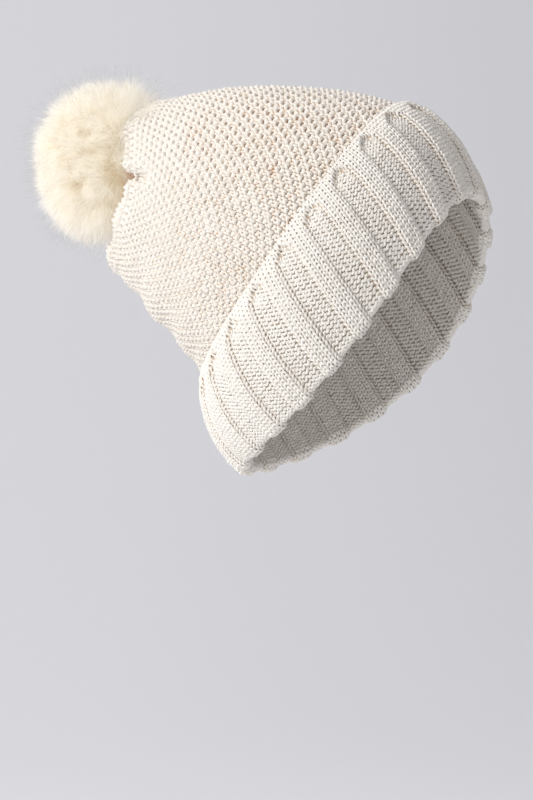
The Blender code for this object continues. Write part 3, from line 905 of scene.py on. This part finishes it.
def woven_material(name, dark, light, thread_width):
    """Plain weave: two crossed sets of bands, as on a woven tape or braid."""
    mat, shader = node_material(name, light, 0.55, sheen=0.25)
    links = mat.node_tree.links
    place = add(mat, "ShaderNodeTexCoord")
    sets = []
    for direction in ("X", "Z"):
        bands = add(mat, "ShaderNodeTexWave", wave_type="BANDS", bands_direction=direction)
        bands.inputs["Scale"].default_value = 1 / (6 * thread_width)
        bands.inputs["Distortion"].default_value = 0.4
        bands.inputs["Detail Scale"].default_value = 4.0
        links.new(place.outputs["Object"], bands.inputs["Vector"])
        sets.append(bands.outputs["Fac"])
    weave = add(mat, "ShaderNodeMath", operation="MULTIPLY")
    links.new(sets[0], weave.inputs[0])
    links.new(sets[1], weave.inputs[1])
    links.new(ramp(mat, weave.outputs[0], ((0.0, dark), (0.6, light))), shader.inputs["Base Color"])
    bump(mat, shader, weave.outputs[0], 0.5, thread_width * 0.5)
    return mat


def finish_small_parts():
    """The carried-over CAD solids: threads, tacks, button, elastic, label and filling."""
    thread = thread_material(
        "sewing_thread", (0.62, 0.54, 0.43), (0.84, 0.78, 0.69), turn_length=0.0016, radius=0.0009
    )
    stitch = thread_material(
        "label_thread", (0.60, 0.54, 0.46), (0.86, 0.82, 0.76), turn_length=0.0010, radius=0.0004
    )
    plastic = cloth_material(
        "button_plastic", (0.74, 0.68, 0.58), (0.80, 0.75, 0.66), scale=180.0, roughness=0.28, sheen=0.0
    )
    elastic = woven_material("elastic_cord", (0.55, 0.50, 0.42), (0.86, 0.82, 0.74), thread_width=0.0004)
    cloth = woven_material("label_cloth", (0.66, 0.65, 0.62), (0.90, 0.89, 0.86), thread_width=0.0003)
    filling = cloth_material(
        "fibre_filling", (0.78, 0.78, 0.75), (0.95, 0.95, 0.93), scale=420.0, roughness=0.95, sheen=0.5
    )
    finishes = {
        thread: ("linking_seam", "crown_back_seam", "cuff_back_seam", "crown_gather_thread",
                 "cuff_tack_left", "cuff_tack_right", "pom_gather_thread"),
        stitch: ("label_stitches",),
        plastic: ("anchor_button",),
        elastic: ("tie_elastic",),
        cloth: ("care_label",),
        filling: ("pom_filling",),
    }
    for mat, names in finishes.items():
        for name in names:
            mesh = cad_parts[name].data
            mesh.materials.clear()
            mesh.materials.append(mat)


def make_hat():
    crown_yarn = yarn_material(
        "crown_yarn", shadow=(0.62, 0.42, 0.25), dark=(0.74, 0.67, 0.58), light=(0.855, 0.815, 0.755),
        ply_length=0.0034, yarn_radius=CROWN_YARN,
    )
    cuff_yarn = yarn_material(
        "cuff_yarn", shadow=(0.58, 0.46, 0.34), dark=(0.75, 0.70, 0.63), light=(0.87, 0.84, 0.785),
        ply_length=0.0026, yarn_radius=CUFF_YARN,
    )
    # Painted shade: dark orange-brown sheets inside the crown and cuff stand in for the shade between the
    # yarns.
    crown_gap_shade = cloth_material("crown_gap_shade_colour", (0.46, 0.25, 0.11), (0.58, 0.34, 0.17), scale=900.0)
    cuff_gap_shade = cloth_material("cuff_shade_sheet", (0.44, 0.34, 0.24), (0.56, 0.45, 0.33), scale=900.0)
    make_crown(crown_yarn)
    make_cuff(cuff_yarn)
    gap_shade_sheet("crown_shade_sheet", crown_inner, (0.0, 1.9), 90, crown_gap_shade, "crown_yarn", "crown_shell")
    gap_shade_sheet("cuff_shade_sheet", cuff_inner, (0.02, 0.97), 110, cuff_gap_shade, "cuff_yarn", "cuff_band")


def make_pom():
    # Painted shade: the underfur's roots are orange-brown, standing in for the shade deep in the fur.
    fur = fur_material("faux_fur", (
        (0.0, (0.82, 0.50, 0.24)), (0.15, (0.98, 0.93, 0.83)),
        (0.7, (0.985, 0.965, 0.91)), (1.0, (0.99, 0.975, 0.94)),
    ), glow=0.125)
    guard = fur_material("guard_hair", (
        (0.0, (0.96, 0.92, 0.82)), (0.62, (0.95, 0.93, 0.88)),
        (0.82, (0.60, 0.57, 0.55)), (1.0, (0.25, 0.24, 0.24)),
    ), glow=0.0)
    ball = cloth_material("fur_backing", (0.90, 0.80, 0.62), (0.97, 0.91, 0.78), scale=600.0)
    tree = crown_tree()
    centres = sphere_directions(TUFTS, rng)
    tufts = (centres, rng.uniform(*TUFT_LENGTHS, TUFTS), rng.normal(0, TUFT_SWEEP, (TUFTS, 3)))
    make_core(ball)
    make_strands(
        "underfur", count=UNDERFUR_STRANDS // 1, sink=0.0008, length=0.0485,
        width=0.00036, lean=0.4, stray=0.16, mat=fur, tree=tree, pieces=5, tufts=tufts, seed=11,
    )
    make_strands(
        "guard_hairs", count=GUARD_STRANDS, sink=0.0005, length=0.0575,
        width=0.00018, lean=0.4, stray=0.2, mat=guard, tree=tree, pieces=1, tufts=tufts, seed=12,
    )


make_stage()
finish_small_parts()
make_hat()
make_pom()
